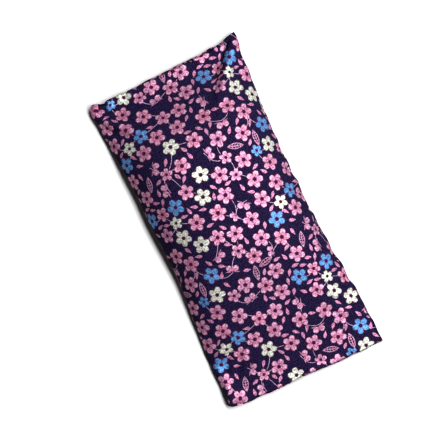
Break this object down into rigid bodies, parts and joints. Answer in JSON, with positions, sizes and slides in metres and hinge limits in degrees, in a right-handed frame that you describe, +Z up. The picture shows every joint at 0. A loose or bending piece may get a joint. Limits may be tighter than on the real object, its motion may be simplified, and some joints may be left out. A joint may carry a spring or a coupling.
{
  "type": "eye pillow",
  "caption": "Soft oblong eye pillow: a folded satin brocade bag sewn on three sides round a cotton pouch of flax seed and lavender, domed on top and flat underneath.",
  "frame": {"origin": "centre of the footprint, on the surface that the pillow rests on", "axes": "+X along the pillow's length, towards its closing seam; +Y from the fold to the side seam; +Z up, away from the flat underside"},
  "size_m": [0.225, 0.1118, 0.032],
  "materials": {
    "brocade": "satin-faced brocade: navy ground with woven pink, white and blue blossom sprigs",
    "thread": "navy polyester sewing thread",
    "cotton": "undyed plain-weave cotton",
    "cotton_thread": "undyed cotton sewing thread",
    "seed": "loose glossy brown flax seed mixed with grey-violet lavender buds"
  },
  "bodies": {
    "root": {"brocade_cover": "brocade", "cover_side_seam": "thread", "cover_end_seam": "thread", "cover_closing_seam": "thread", "cotton_pouch": "cotton", "pouch_side_seam": "cotton_thread", "pouch_end_seam": "cotton_thread", "pouch_closing_seam": "cotton_thread", "flax_and_lavender_filling": "seed"}
  },
  "joints": []
}
